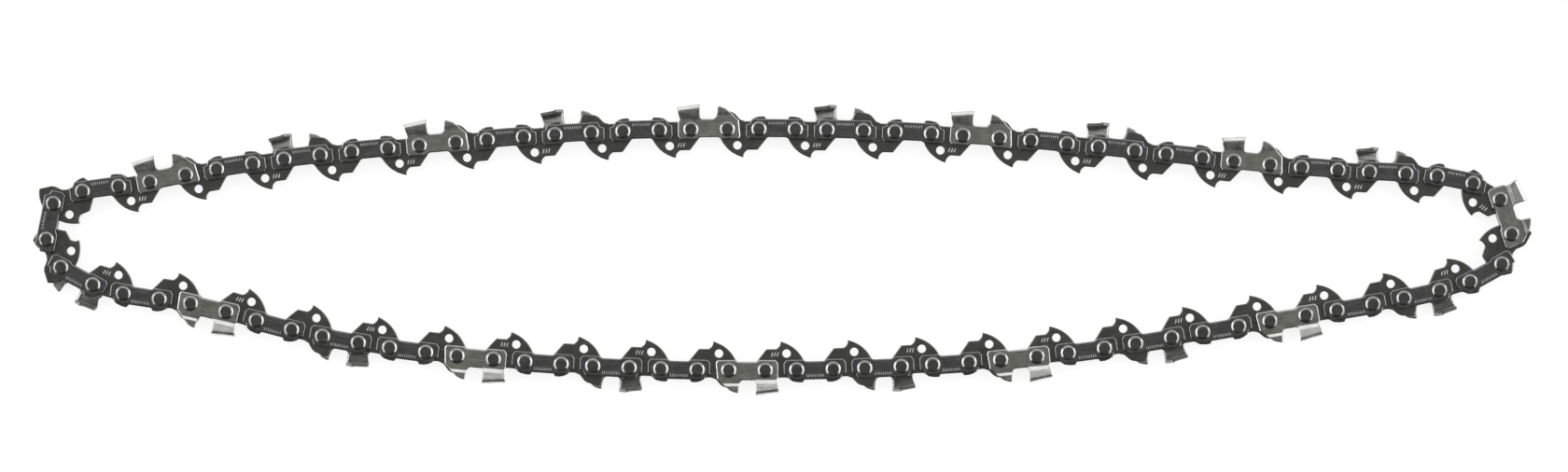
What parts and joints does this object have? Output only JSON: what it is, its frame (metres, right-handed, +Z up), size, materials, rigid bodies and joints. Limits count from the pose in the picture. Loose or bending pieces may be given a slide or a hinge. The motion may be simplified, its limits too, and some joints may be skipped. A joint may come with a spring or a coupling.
{
  "type": "chainsaw chain loop",
  "caption": "Closed saw chain of drive links, tie straps and left and right cutters on rivets, lying on its side in a long slim loop, for a chainsaw's guide bar.",
  "frame": {"origin": "under the middle of the loop's box, on the surface that the chain lies on", "axes": "+X along the loop's length, the way the upper strand runs; +Y across the loop; +Z up along the rivets"},
  "size_m": [0.4112, 0.0798, 0.0052],
  "materials": {
    "strap_steel": "dark oiled steel, satin",
    "drive_link_steel": "dark oiled steel, satin",
    "cutter_steel": "brushed grey steel with bright ground edges"
  },
  "bodies": {
    "cutter_right_01": {"cutter_right_01": "cutter_steel"},
    "drive_link_01": {"drive_link_01": "drive_link_steel"},
    "tie_straps_02": {"tie_straps_02": "strap_steel"},
    "drive_link_02": {"drive_link_02": "drive_link_steel"},
    "cutter_left_03": {"cutter_left_03": "cutter_steel"},
    "tie_straps_04": {"tie_straps_04": "strap_steel"},
    "cutter_right_05": {"cutter_right_05": "cutter_steel"},
    "tie_straps_06": {"tie_straps_06": "strap_steel"},
    "cutter_left_07": {"cutter_left_07": "cutter_steel"},
    "tie_straps_08": {"tie_straps_08": "strap_steel"},
    "cutter_right_09": {"cutter_right_09": "cutter_steel"},
    "tie_straps_10": {"tie_straps_10": "strap_steel"},
    "cutter_left_11": {"cutter_left_11": "cutter_steel"},
    "tie_straps_12": {"tie_straps_12": "strap_steel"},
    "cutter_right_13": {"cutter_right_13": "cutter_steel"},
    "tie_straps_14": {"tie_straps_14": "strap_steel"},
    "cutter_left_15": {"cutter_left_15": "cutter_steel"},
    "tie_straps_16": {"tie_straps_16": "strap_steel"},
    "cutter_right_17": {"cutter_right_17": "cutter_steel"},
    "drive_link_17": {"drive_link_17": "drive_link_steel"},
    "tie_straps_18": {"tie_straps_18": "strap_steel"},
    "drive_link_18": {"drive_link_18": "drive_link_steel"},
    "cutter_left_19": {"cutter_left_19": "cutter_steel"},
    "drive_link_19": {"drive_link_19": "drive_link_steel"},
    "tie_straps_20": {"tie_straps_20": "strap_steel"},
    "drive_link_20": {"drive_link_20": "drive_link_steel"},
    "cutter_right_21": {"cutter_right_21": "cutter_steel"},
    "drive_link_21": {"drive_link_21": "drive_link_steel"},
    "tie_straps_22": {"tie_straps_22": "strap_steel"},
    "drive_link_22": {"drive_link_22": "drive_link_steel"},
    "cutter_left_23": {"cutter_left_23": "cutter_steel"},
    "drive_link_23": {"drive_link_23": "drive_link_steel"},
    "tie_straps_24": {"tie_straps_24": "strap_steel"},
    "drive_link_24": {"drive_link_24": "drive_link_steel"},
    "cutter_right_25": {"cutter_right_25": "cutter_steel"},
    "tie_straps_26": {"tie_straps_26": "strap_steel"},
    "cutter_left_27": {"cutter_left_27": "cutter_steel"},
    "tie_straps_28": {"tie_straps_28": "strap_steel"},
    "cutter_right_29": {"cutter_right_29": "cutter_steel"},
    "tie_straps_30": {"tie_straps_30": "strap_steel"},
    "cutter_left_31": {"cutter_left_31": "cutter_steel"},
    "tie_straps_32": {"tie_straps_32": "strap_steel"},
    "cutter_right_33": {"cutter_right_33": "cutter_steel"},
    "tie_straps_34": {"tie_straps_34": "strap_steel"},
    "cutter_left_35": {"cutter_left_35": "cutter_steel"},
    "tie_straps_36": {"tie_straps_36": "strap_steel"},
    "cutter_right_37": {"cutter_right_37": "cutter_steel"},
    "tie_straps_38": {"tie_straps_38": "strap_steel"},
    "cutter_left_39": {"cutter_left_39": "cutter_steel"},
    "tie_straps_40": {"tie_straps_40": "strap_steel"},
    "cutter_right_41": {"cutter_right_41": "cutter_steel"},
    "drive_link_41": {"drive_link_41": "drive_link_steel"},
    "tie_straps_42": {"tie_straps_42": "strap_steel"},
    "drive_link_42": {"drive_link_42": "drive_link_steel"},
    "cutter_left_43": {"cutter_left_43": "cutter_steel"},
    "drive_link_43": {"drive_link_43": "drive_link_steel"},
    "tie_straps_44": {"tie_straps_44": "strap_steel"},
    "drive_link_44": {"drive_link_44": "drive_link_steel"},
    "tie_straps_45": {"tie_straps_45": "strap_steel"},
    "drive_link_45": {"drive_link_45": "drive_link_steel"}
  },
  "joints": [
    {"name": "rear_rivet_44", "type": "hinge", "parent": "drive_link_43", "child": "tie_straps_44", "pos_m": [-0.20177, 0.00284, 0.00262], "axis": [0, 0, 1], "range_deg": [0, 25.16]},
    {"name": "rear_rivet_33", "type": "hinge", "parent": "tie_straps_32", "child": "cutter_right_33", "pos_m": [-0.0047, -0.03304, 0.00262], "axis": [0, 0, 1], "range_deg": [-3.9, 0]},
    {"name": "rear_rivet_34", "type": "hinge", "parent": "cutter_right_33", "child": "tie_straps_34", "pos_m": [-0.02335, -0.0329, 0.00262], "axis": [0, 0, 1], "range_deg": [-4.24, 0]},
    {"name": "rear_rivet_35", "type": "hinge", "parent": "tie_straps_34", "child": "cutter_left_35", "pos_m": [-0.04199, -0.03233, 0.00262], "axis": [0, 0, 1], "range_deg": [-4.85, 0]},
    {"name": "rear_rivet_36", "type": "hinge", "parent": "cutter_left_35", "child": "tie_straps_36", "pos_m": [-0.06062, -0.03137, 0.00262], "axis": [0, 0, 1], "range_deg": [-5.45, 0]},
    {"name": "rear_rivet_37", "type": "hinge", "parent": "tie_straps_36", "child": "cutter_right_37", "pos_m": [-0.07922, -0.03002, 0.00262], "axis": [0, 0, 1], "range_deg": [-5.58, 0]},
    {"name": "rear_rivet_38", "type": "hinge", "parent": "cutter_right_37", "child": "tie_straps_38", "pos_m": [-0.09777, -0.02814, 0.00262], "axis": [0, 0, 1], "range_deg": [-5.39, 0]},
    {"name": "rear_rivet_39", "type": "hinge", "parent": "tie_straps_38", "child": "cutter_left_39", "pos_m": [-0.11624, -0.02554, 0.00262], "axis": [0, 0, 1], "range_deg": [-4.67, 0]},
    {"name": "rear_rivet_40", "type": "hinge", "parent": "cutter_left_39", "child": "tie_straps_40", "pos_m": [-0.13453, -0.02191, 0.00262], "axis": [0, 0, 1], "range_deg": [-4.15, 0]},
    {"name": "rear_rivet_41", "type": "hinge", "parent": "tie_straps_40", "child": "cutter_right_41", "pos_m": [-0.15253, -0.01702, 0.00262], "axis": [0, 0, 1], "range_deg": [-7.59, 0]},
    {"name": "front_rivet_41", "type": "hinge", "parent": "cutter_right_41", "child": "drive_link_41", "pos_m": [-0.16226, -0.01471, 0.00262], "axis": [0, 0, 1], "range_deg": [-7.68, 0]},
    {"name": "rear_rivet_42", "type": "hinge", "parent": "drive_link_41", "child": "tie_straps_42", "pos_m": [-0.17083, -0.01354, 0.00262], "axis": [0, 0, 1], "range_deg": [0, 0.169]},
    {"name": "front_rivet_42", "type": "hinge", "parent": "tie_straps_42", "child": "drive_link_42", "pos_m": [-0.18071, -0.01204, 0.00262], "axis": [0, 0, 1], "range_deg": [0, 8.65]},
    {"name": "rear_rivet_43", "type": "hinge", "parent": "drive_link_42", "child": "cutter_left_43", "pos_m": [-0.18902, -0.00962, 0.00262], "axis": [0, 0, 1], "range_deg": [0, 12.78]},
    {"name": "front_rivet_43", "type": "hinge", "parent": "cutter_left_43", "child": "drive_link_43", "pos_m": [-0.19781, -0.00484, 0.00262], "axis": [0, 0, 1], "range_deg": [0, 27.68]},
    {"name": "front_rivet_44", "type": "hinge", "parent": "tie_straps_44", "child": "drive_link_44", "pos_m": [-0.19984, 0.01265, 0.00262], "axis": [0, 0, 1], "range_deg": [0, 34.22]},
    {"name": "rear_rivet_45", "type": "hinge", "parent": "drive_link_44", "child": "tie_straps_45", "pos_m": [-0.19188, 0.01603, 0.00262], "axis": [0, 0, 1], "range_deg": [0, 4.82]},
    {"name": "rear_rivet_32", "type": "hinge", "parent": "tie_straps_32", "child": "cutter_left_31", "pos_m": [0.01394, -0.03273, 0.00262], "axis": [0, 0, 1], "range_deg": [0, 3.92]},
    {"name": "rear_rivet_31", "type": "hinge", "parent": "cutter_left_31", "child": "tie_straps_30", "pos_m": [0.03258, -0.032, 0.00262], "axis": [0, 0, 1], "range_deg": [0, 4.21]},
    {"name": "rear_rivet_30", "type": "hinge", "parent": "tie_straps_30", "child": "cutter_right_29", "pos_m": [0.0512, -0.03087, 0.00262], "axis": [0, 0, 1], "range_deg": [0, 4.49]},
    {"name": "rear_rivet_29", "type": "hinge", "parent": "cutter_right_29", "child": "tie_straps_28", "pos_m": [0.06978, -0.02926, 0.00262], "axis": [0, 0, 1], "range_deg": [0, 4.86]},
    {"name": "rear_rivet_28", "type": "hinge", "parent": "tie_straps_28", "child": "cutter_left_27", "pos_m": [0.08829, -0.02701, 0.00262], "axis": [0, 0, 1], "range_deg": [0, 5.92]},
    {"name": "rear_rivet_27", "type": "hinge", "parent": "cutter_left_27", "child": "tie_straps_26", "pos_m": [0.10671, -0.02411, 0.00262], "axis": [0, 0, 1], "range_deg": [0, 8]},
    {"name": "rear_rivet_26", "type": "hinge", "parent": "tie_straps_26", "child": "cutter_right_25", "pos_m": [0.1251, -0.02097, 0.00262], "axis": [0, 0, 1], "range_deg": [0, 9.38]},
    {"name": "rear_rivet_25", "type": "hinge", "parent": "cutter_right_25", "child": "drive_link_24", "pos_m": [0.1435, -0.01797, 0.00262], "axis": [0, 0, 1], "range_deg": [0, 6.23]},
    {"name": "front_rivet_24", "type": "hinge", "parent": "drive_link_24", "child": "tie_straps_24", "pos_m": [0.15204, -0.01658, 0.00262], "axis": [0, 0, 1], "range_deg": [0, 3.06]},
    {"name": "rear_rivet_24", "type": "hinge", "parent": "tie_straps_24", "child": "drive_link_23", "pos_m": [0.16189, -0.01488, 0.00262], "axis": [0, 0, 1], "range_deg": [0, 0.755]},
    {"name": "front_rivet_23", "type": "hinge", "parent": "drive_link_23", "child": "cutter_left_23", "pos_m": [0.17039, -0.01328, 0.00262], "axis": [0, 0, 1], "range_deg": [-1.77, 0]},
    {"name": "rear_rivet_23", "type": "hinge", "parent": "cutter_left_23", "child": "drive_link_22", "pos_m": [0.18016, -0.01113, 0.00262], "axis": [0, 0, 1], "range_deg": [-4.95, 0]},
    {"name": "front_rivet_22", "type": "hinge", "parent": "drive_link_22", "child": "tie_straps_22", "pos_m": [0.18848, -0.00878, 0.00262], "axis": [0, 0, 1], "range_deg": [-13.78, 0]},
    {"name": "rear_rivet_22", "type": "hinge", "parent": "tie_straps_22", "child": "drive_link_21", "pos_m": [0.19722, -0.00391, 0.00262], "axis": [0, 0, 1], "range_deg": [-35.85, 0]},
    {"name": "front_rivet_21", "type": "hinge", "parent": "drive_link_21", "child": "cutter_right_21", "pos_m": [0.19993, 0.00431, 0.00262], "axis": [0, 0, 1], "range_deg": [-24.75, 0]},
    {"name": "rear_rivet_21", "type": "hinge", "parent": "cutter_right_21", "child": "drive_link_20", "pos_m": [0.19677, 0.0138, 0.00262], "axis": [0, 0, 1], "range_deg": [-20.96, 0]},
    {"name": "front_rivet_20", "type": "hinge", "parent": "drive_link_20", "child": "tie_straps_20", "pos_m": [0.18933, 0.01821, 0.00262], "axis": [0, 0, 1], "range_deg": [-2.86, 0]},
    {"name": "rear_rivet_20", "type": "hinge", "parent": "tie_straps_20", "child": "drive_link_19", "pos_m": [0.17953, 0.02019, 0.00262], "axis": [0, 0, 1], "range_deg": [0, 4.08]},
    {"name": "front_rivet_19", "type": "hinge", "parent": "drive_link_19", "child": "cutter_left_19", "pos_m": [0.17091, 0.02084, 0.00262], "axis": [0, 0, 1], "range_deg": [0, 5.8]},
    {"name": "rear_rivet_19", "type": "hinge", "parent": "cutter_left_19", "child": "drive_link_18", "pos_m": [0.16092, 0.02132, 0.00262], "axis": [0, 0, 1], "range_deg": [0, 5.14]},
    {"name": "front_rivet_18", "type": "hinge", "parent": "drive_link_18", "child": "tie_straps_18", "pos_m": [0.15228, 0.02185, 0.00262], "axis": [0, 0, 1], "range_deg": [0, 3.73]},
    {"name": "rear_rivet_18", "type": "hinge", "parent": "tie_straps_18", "child": "drive_link_17", "pos_m": [0.14231, 0.02259, 0.00262], "axis": [0, 0, 1], "range_deg": [0, 2.52]},
    {"name": "front_rivet_17", "type": "hinge", "parent": "drive_link_17", "child": "cutter_right_17", "pos_m": [0.13369, 0.02334, 0.00262], "axis": [0, 0, 1], "range_deg": [0, 1.76]},
    {"name": "rear_rivet_17", "type": "hinge", "parent": "cutter_right_17", "child": "tie_straps_16", "pos_m": [0.12374, 0.0243, 0.00262], "axis": [0, 0, 1], "range_deg": [0, 2.92]},
    {"name": "rear_rivet_16", "type": "hinge", "parent": "tie_straps_16", "child": "cutter_left_15", "pos_m": [0.10519, 0.02624, 0.00262], "axis": [0, 0, 1], "range_deg": [0, 3.73]},
    {"name": "rear_rivet_15", "type": "hinge", "parent": "cutter_left_15", "child": "tie_straps_14", "pos_m": [0.08664, 0.02819, 0.00262], "axis": [0, 0, 1], "range_deg": [0, 3.49]},
    {"name": "rear_rivet_14", "type": "hinge", "parent": "tie_straps_14", "child": "cutter_right_13", "pos_m": [0.06808, 0.02995, 0.00262], "axis": [0, 0, 1], "range_deg": [0, 3.64]},
    {"name": "rear_rivet_13", "type": "hinge", "parent": "cutter_right_13", "child": "tie_straps_12", "pos_m": [0.04948, 0.03137, 0.00262], "axis": [0, 0, 1], "range_deg": [0, 3.98]},
    {"name": "rear_rivet_12", "type": "hinge", "parent": "tie_straps_12", "child": "cutter_left_11", "pos_m": [0.03086, 0.03234, 0.00262], "axis": [0, 0, 1], "range_deg": [0, 4.62]},
    {"name": "rear_rivet_11", "type": "hinge", "parent": "cutter_left_11", "child": "tie_straps_10", "pos_m": [0.01221, 0.0329, 0.00262], "axis": [0, 0, 1], "range_deg": [0, 5.28]},
    {"name": "rear_rivet_10", "type": "hinge", "parent": "tie_straps_10", "child": "cutter_right_09", "pos_m": [-0.00643, 0.03312, 0.00262], "axis": [0, 0, 1], "range_deg": [0, 5.71]},
    {"name": "rear_rivet_09", "type": "hinge", "parent": "cutter_right_09", "child": "tie_straps_08", "pos_m": [-0.02508, 0.03301, 0.00262], "axis": [0, 0, 1], "range_deg": [0, 5.72]},
    {"name": "rear_rivet_08", "type": "hinge", "parent": "tie_straps_08", "child": "cutter_left_07", "pos_m": [-0.04373, 0.03251, 0.00262], "axis": [0, 0, 1], "range_deg": [0, 5.47]},
    {"name": "rear_rivet_07", "type": "hinge", "parent": "cutter_left_07", "child": "tie_straps_06", "pos_m": [-0.06235, 0.03154, 0.00262], "axis": [0, 0, 1], "range_deg": [0, 5.28]},
    {"name": "rear_rivet_06", "type": "hinge", "parent": "tie_straps_06", "child": "cutter_right_05", "pos_m": [-0.08095, 0.03017, 0.00262], "axis": [0, 0, 1], "range_deg": [0, 5.21]},
    {"name": "rear_rivet_05", "type": "hinge", "parent": "cutter_right_05", "child": "tie_straps_04", "pos_m": [-0.09953, 0.0286, 0.00262], "axis": [0, 0, 1], "range_deg": [0, 4.91]},
    {"name": "rear_rivet_04", "type": "hinge", "parent": "tie_straps_04", "child": "cutter_left_03", "pos_m": [-0.11811, 0.02689, 0.00262], "axis": [0, 0, 1], "range_deg": [0, 4.09]},
    {"name": "rear_rivet_03", "type": "hinge", "parent": "cutter_left_03", "child": "drive_link_02", "pos_m": [-0.13664, 0.02481, 0.00262], "axis": [0, 0, 1], "range_deg": [0, 2.22]},
    {"name": "front_rivet_02", "type": "hinge", "parent": "drive_link_02", "child": "tie_straps_02", "pos_m": [-0.14521, 0.02365, 0.00262], "axis": [0, 0, 1], "range_deg": [0, 0.973]},
    {"name": "rear_rivet_02", "type": "hinge", "parent": "tie_straps_02", "child": "drive_link_01", "pos_m": [-0.15509, 0.0221, 0.00262], "axis": [0, 0, 1], "range_deg": [0, 1.03]},
    {"name": "front_rivet_01", "type": "hinge", "parent": "drive_link_01", "child": "cutter_right_01", "pos_m": [-0.16361, 0.02058, 0.00262], "axis": [0, 0, 1], "range_deg": [0, 1.11]},
    {"name": "rear_rivet_01", "type": "hinge", "parent": "cutter_right_01", "child": "drive_link_45", "pos_m": [-0.17341, 0.01859, 0.00262], "axis": [0, 0, 1], "range_deg": [0, 5.28]}
  ],
  "couplings": [
    {"joint": "rear_rivet_33", "follows": "rear_rivet_44", "ratio": -0.15408},
    {"joint": "rear_rivet_34", "follows": "rear_rivet_44", "ratio": -0.16764},
    {"joint": "rear_rivet_35", "follows": "rear_rivet_44", "ratio": -0.19197},
    {"joint": "rear_rivet_36", "follows": "rear_rivet_44", "ratio": -0.21588},
    {"joint": "rear_rivet_37", "follows": "rear_rivet_44", "ratio": -0.22094},
    {"joint": "rear_rivet_38", "follows": "rear_rivet_44", "ratio": -0.21363},
    {"joint": "rear_rivet_39", "follows": "rear_rivet_44", "ratio": -0.18482},
    {"joint": "rear_rivet_40", "follows": "rear_rivet_44", "ratio": -0.16407},
    {"joint": "rear_rivet_41", "follows": "rear_rivet_44", "ratio": -0.30079},
    {"joint": "front_rivet_41", "follows": "rear_rivet_44", "ratio": -0.30435},
    {"joint": "rear_rivet_42", "follows": "rear_rivet_44", "ratio": 0.005903},
    {"joint": "front_rivet_42", "follows": "rear_rivet_44", "ratio": 0.34289},
    {"joint": "rear_rivet_43", "follows": "rear_rivet_44", "ratio": 0.50727},
    {"joint": "front_rivet_43", "follows": "rear_rivet_44", "ratio": 1.0992},
    {"joint": "front_rivet_44", "follows": "rear_rivet_44", "ratio": 1.3595},
    {"joint": "rear_rivet_45", "follows": "rear_rivet_44", "ratio": 0.19076},
    {"joint": "rear_rivet_32", "follows": "rear_rivet_44", "ratio": 0.15514},
    {"joint": "rear_rivet_31", "follows": "rear_rivet_44", "ratio": 0.16662},
    {"joint": "rear_rivet_30", "follows": "rear_rivet_44", "ratio": 0.17772},
    {"joint": "rear_rivet_29", "follows": "rear_rivet_44", "ratio": 0.19234},
    {"joint": "rear_rivet_28", "follows": "rear_rivet_44", "ratio": 0.23462},
    {"joint": "rear_rivet_27", "follows": "rear_rivet_44", "ratio": 0.31707},
    {"joint": "rear_rivet_26", "follows": "rear_rivet_44", "ratio": 0.37221},
    {"joint": "rear_rivet_25", "follows": "rear_rivet_44", "ratio": 0.24688},
    {"joint": "front_rivet_24", "follows": "rear_rivet_44", "ratio": 0.12069},
    {"joint": "rear_rivet_24", "follows": "rear_rivet_44", "ratio": 0.029218},
    {"joint": "front_rivet_23", "follows": "rear_rivet_44", "ratio": -0.06955},
    {"joint": "rear_rivet_23", "follows": "rear_rivet_44", "ratio": -0.19579},
    {"joint": "front_rivet_22", "follows": "rear_rivet_44", "ratio": -0.54699},
    {"joint": "rear_rivet_22", "follows": "rear_rivet_44", "ratio": -1.4239},
    {"joint": "front_rivet_21", "follows": "rear_rivet_44", "ratio": -0.98272},
    {"joint": "rear_rivet_21", "follows": "rear_rivet_44", "ratio": -0.8322},
    {"joint": "front_rivet_20", "follows": "rear_rivet_44", "ratio": -0.11304},
    {"joint": "rear_rivet_20", "follows": "rear_rivet_44", "ratio": 0.16156},
    {"joint": "front_rivet_19", "follows": "rear_rivet_44", "ratio": 0.22956},
    {"joint": "rear_rivet_19", "follows": "rear_rivet_44", "ratio": 0.2035},
    {"joint": "front_rivet_18", "follows": "rear_rivet_44", "ratio": 0.14731},
    {"joint": "rear_rivet_18", "follows": "rear_rivet_44", "ratio": 0.099354},
    {"joint": "front_rivet_17", "follows": "rear_rivet_44", "ratio": 0.069249},
    {"joint": "rear_rivet_17", "follows": "rear_rivet_44", "ratio": 0.11539},
    {"joint": "rear_rivet_16", "follows": "rear_rivet_44", "ratio": 0.14743},
    {"joint": "rear_rivet_15", "follows": "rear_rivet_44", "ratio": 0.13804},
    {"joint": "rear_rivet_14", "follows": "rear_rivet_44", "ratio": 0.14388},
    {"joint": "rear_rivet_13", "follows": "rear_rivet_44", "ratio": 0.15718},
    {"joint": "rear_rivet_12", "follows": "rear_rivet_44", "ratio": 0.18298},
    {"joint": "rear_rivet_11", "follows": "rear_rivet_44", "ratio": 0.2092},
    {"joint": "rear_rivet_10", "follows": "rear_rivet_44", "ratio": 0.22601},
    {"joint": "rear_rivet_09", "follows": "rear_rivet_44", "ratio": 0.22675},
    {"joint": "rear_rivet_08", "follows": "rear_rivet_44", "ratio": 0.21661},
    {"joint": "rear_rivet_07", "follows": "rear_rivet_44", "ratio": 0.20917},
    {"joint": "rear_rivet_06", "follows": "rear_rivet_44", "ratio": 0.20638},
    {"joint": "rear_rivet_05", "follows": "rear_rivet_44", "ratio": 0.19435},
    {"joint": "rear_rivet_04", "follows": "rear_rivet_44", "ratio": 0.16182},
    {"joint": "rear_rivet_03", "follows": "rear_rivet_44", "ratio": 0.087392},
    {"joint": "front_rivet_02", "follows": "rear_rivet_44", "ratio": 0.037893},
    {"joint": "rear_rivet_02", "follows": "rear_rivet_44", "ratio": 0.040115},
    {"joint": "front_rivet_01", "follows": "rear_rivet_44", "ratio": 0.043377},
    {"joint": "rear_rivet_01", "follows": "rear_rivet_44", "ratio": 0.20895}
  ]
}
